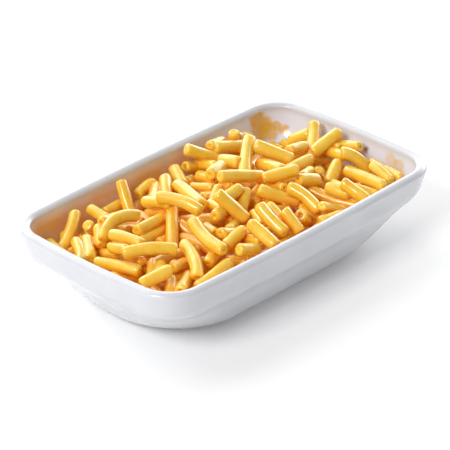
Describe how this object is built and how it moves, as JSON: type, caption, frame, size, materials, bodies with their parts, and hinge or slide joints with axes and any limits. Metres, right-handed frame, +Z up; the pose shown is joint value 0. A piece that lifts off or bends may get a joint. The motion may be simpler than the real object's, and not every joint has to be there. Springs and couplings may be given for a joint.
{
  "type": "macaroni and cheese in a rectangular dish",
  "caption": "Macaroni in cheese sauce heaped in a small white rectangular porcelain dish with rounded corners and a sloping foot.",
  "frame": {"origin": "on the table, under the middle of the dish", "axes": "+X along the dish, +Y across it, +Z up"},
  "size_m": [0.19, 0.1116, 0.0441],
  "materials": {
    "porcelain": "gloss",
    "cheese_pasta": "gloss"
  },
  "bodies": {
    "root": {"dish": "porcelain", "macaroni": "cheese_pasta"}
  },
  "joints": []
}
